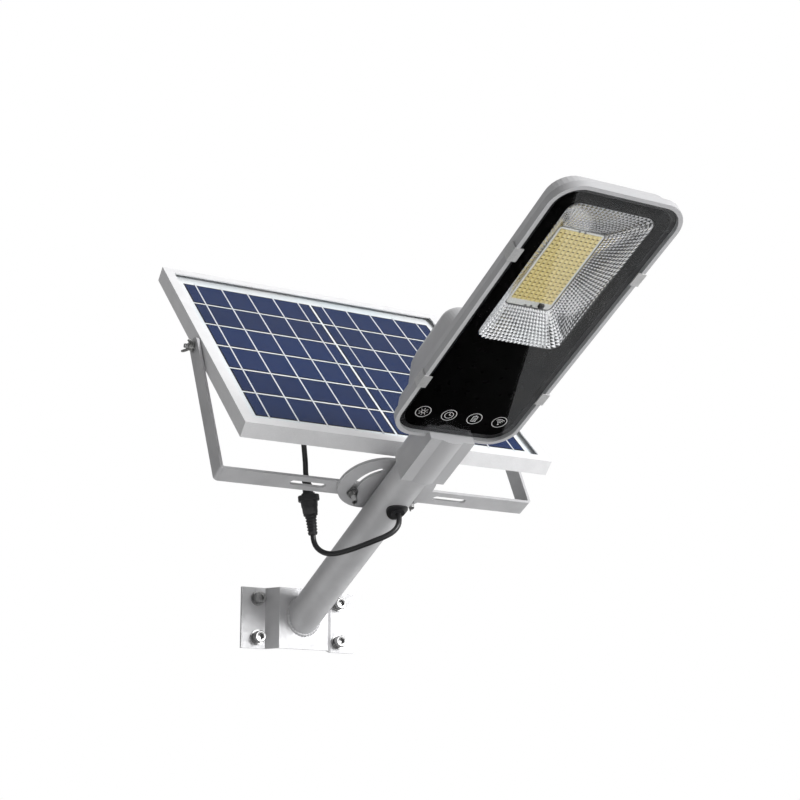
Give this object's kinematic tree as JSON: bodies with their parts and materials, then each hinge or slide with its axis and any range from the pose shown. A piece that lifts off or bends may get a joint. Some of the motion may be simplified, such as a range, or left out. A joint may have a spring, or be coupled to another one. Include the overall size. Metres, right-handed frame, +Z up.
{
  "type": "solar street lamp",
  "caption": "Wall-mounted solar street lamp: slanted arm with an LED head, and a solar panel that tilts and swivels in a U-bracket on the arm.",
  "frame": {"origin": "middle of the wall bracket's back plane, centre of the four wall bolts", "axes": "+Y into the wall, so the lamp reaches out along -Y; +Z up; +X along the wall, to the right for someone facing it"},
  "size_m": [0.379, 0.6487, 0.4127],
  "materials": {
    "galvanised_steel": "satin grey",
    "zinc_bolt": "zinc plated",
    "zinc_nut": "dull zinc",
    "anodised_frame": "silver anodised",
    "panel_glass": "clear, fine texture",
    "silicon": "dark blue",
    "ribbon": "tinned",
    "backsheet": "white",
    "black_plastic": "fine grain",
    "black_rubber": "satin",
    "housing_paint": "light grey coat",
    "clip_steel": "satin",
    "lamp_glass": "clear",
    "glass_mask": "printed black",
    "reflector": "faceted, vacuum coated",
    "led_board": "white solder mask",
    "led": "yellow phosphor",
    "thermal_pad": "soft",
    "battery_wrap": "blue sleeve",
    "green_board": "green solder mask",
    "component_black": "moulded"
  },
  "bodies": {
    "arm": {"wall_plate": "galvanised_steel", "wall_bolts": "zinc_bolt", "wall_washers": "zinc_bolt", "arm_tube": "galvanised_steel", "arm_weld": "galvanised_steel", "cable_grommet": "black_rubber", "moon_plate": "galvanised_steel", "lamp_lead": "black_rubber", "lamp_housing": "housing_paint", "neck_screws": "zinc_bolt", "front_glass": "lamp_glass", "glass_mask": "glass_mask", "glass_gasket": "black_rubber", "glass_clips": "clip_steel", "reflector": "reflector", "led_board": "led_board", "led_chips": "led", "light_sensor": "black_plastic", "board_screws": "zinc_bolt", "thermal_pad": "thermal_pad", "battery_cells": "battery_wrap", "battery_tray": "black_plastic", "battery_strap": "black_plastic", "controller_board": "green_board", "controller_parts": "component_black", "inner_lead": "black_rubber"},
    "bracket": {"u_bracket": "galvanised_steel", "swivel_bolts": "zinc_bolt", "swivel_washers": "zinc_bolt", "socket_half": "black_plastic", "plug_half": "black_plastic", "plug_ring": "black_plastic"},
    "panel": {"frame_rail_top": "anodised_frame", "frame_rail_bottom": "anodised_frame", "frame_rail_left": "anodised_frame", "frame_rail_right": "anodised_frame", "corner_keys": "anodised_frame", "panel_glass": "panel_glass", "solar_cells": "silicon", "cell_ribbons": "ribbon", "backsheet": "backsheet", "junction_box": "black_plastic", "junction_lid": "black_plastic", "junction_gland": "black_rubber", "tilt_bolts": "zinc_bolt", "tilt_washers": "zinc_bolt", "panel_lead": "black_rubber"},
    "swivel_nut_left": {"swivel_wing_nut_left": "zinc_nut"},
    "swivel_nut_right": {"swivel_wing_nut_right": "zinc_nut"},
    "tilt_nut_left": {"tilt_wing_nut_left": "zinc_nut"},
    "tilt_nut_right": {"tilt_wing_nut_right": "zinc_nut"}
  },
  "joints": [
    {"name": "bracket_swivel", "type": "hinge", "parent": "arm", "child": "bracket", "pos_m": [0, -0.19933, 0.11064], "axis": [0, 0.4226, 0.9063], "range_deg": [-12, 12], "deforming": ["lamp_lead"]},
    {"name": "panel_tilt", "type": "hinge", "parent": "bracket", "child": "panel", "pos_m": [0, -0.12206, 0.25506], "axis": [1, 0, 0], "range_deg": [-35, 8], "deforming": ["panel_lead"]},
    {"name": "swivel_nut_turn_left", "type": "hinge", "parent": "bracket", "child": "swivel_nut_left", "pos_m": [-0.03279, -0.19414, 0.1005], "axis": [0, 0.4226, 0.9063], "continuous": true},
    {"name": "tilt_nut_turn_left", "type": "hinge", "parent": "panel", "child": "tilt_nut_left", "pos_m": [-0.183, -0.12206, 0.25506], "axis": [1, 0, 0], "continuous": true},
    {"name": "swivel_nut_turn_right", "type": "hinge", "parent": "bracket", "child": "swivel_nut_right", "pos_m": [0.03279, -0.19414, 0.1005], "axis": [0, 0.4226, 0.9063], "continuous": true},
    {"name": "tilt_nut_turn_right", "type": "hinge", "parent": "panel", "child": "tilt_nut_right", "pos_m": [0.183, -0.12206, 0.25506], "axis": [1, 0, 0], "continuous": true}
  ]
}
